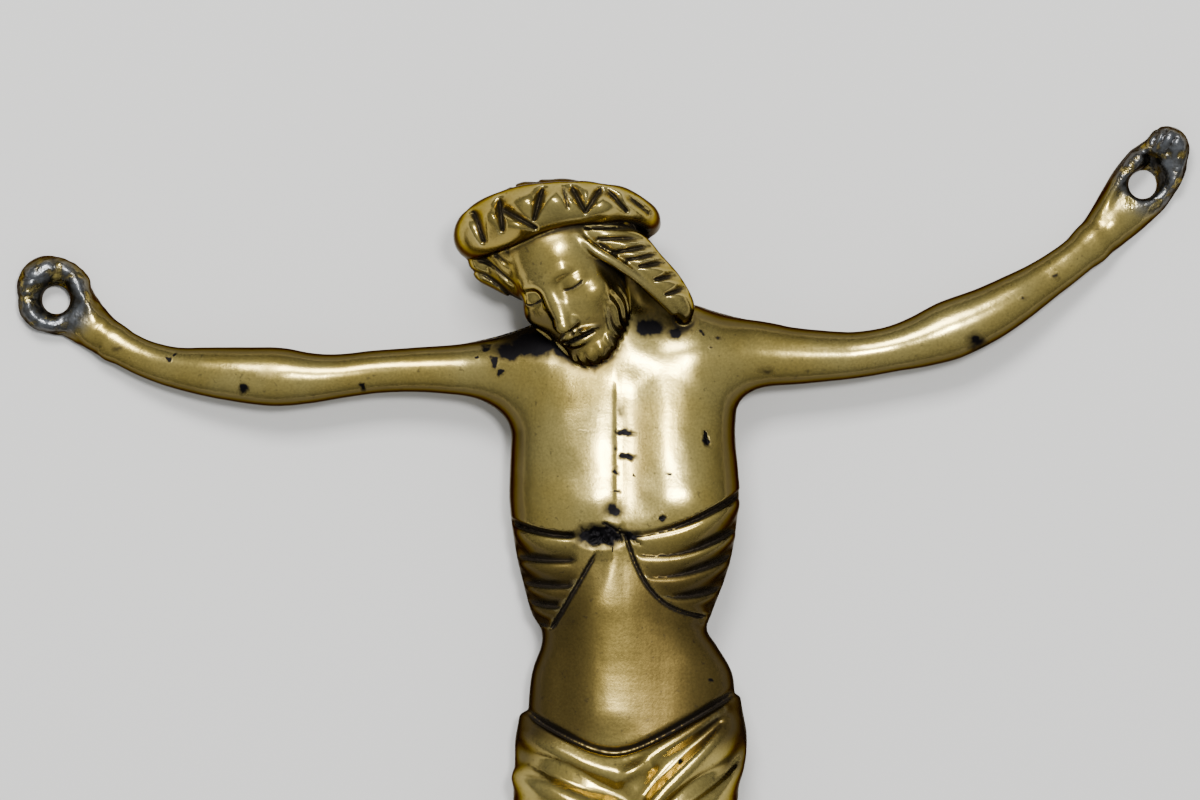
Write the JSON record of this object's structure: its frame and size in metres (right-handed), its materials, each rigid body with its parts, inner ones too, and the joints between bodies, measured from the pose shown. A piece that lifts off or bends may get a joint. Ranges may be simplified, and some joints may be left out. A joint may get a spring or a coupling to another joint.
{
  "type": "crucifix corpus figure",
  "caption": "Loose cast brass corpus: a figure with outstretched arms, crown and loincloth, flat at the back, with nail holes in the hands and the crossed feet.",
  "frame": {"origin": "middle of the figure's box seen from the front, on the flat of its back", "axes": "+Z from the back out of the chest, +Y from the feet towards the head, +X towards the hand on the viewer's right"},
  "size_m": [0.112, 0.1298, 0.0186],
  "materials": {
    "aged_brass": "worn and hand polished, dark brown grime in the grooves and blue-black tarnish on the hands"
  },
  "bodies": {
    "root": {"corpus": "aged_brass"}
  },
  "joints": []
}
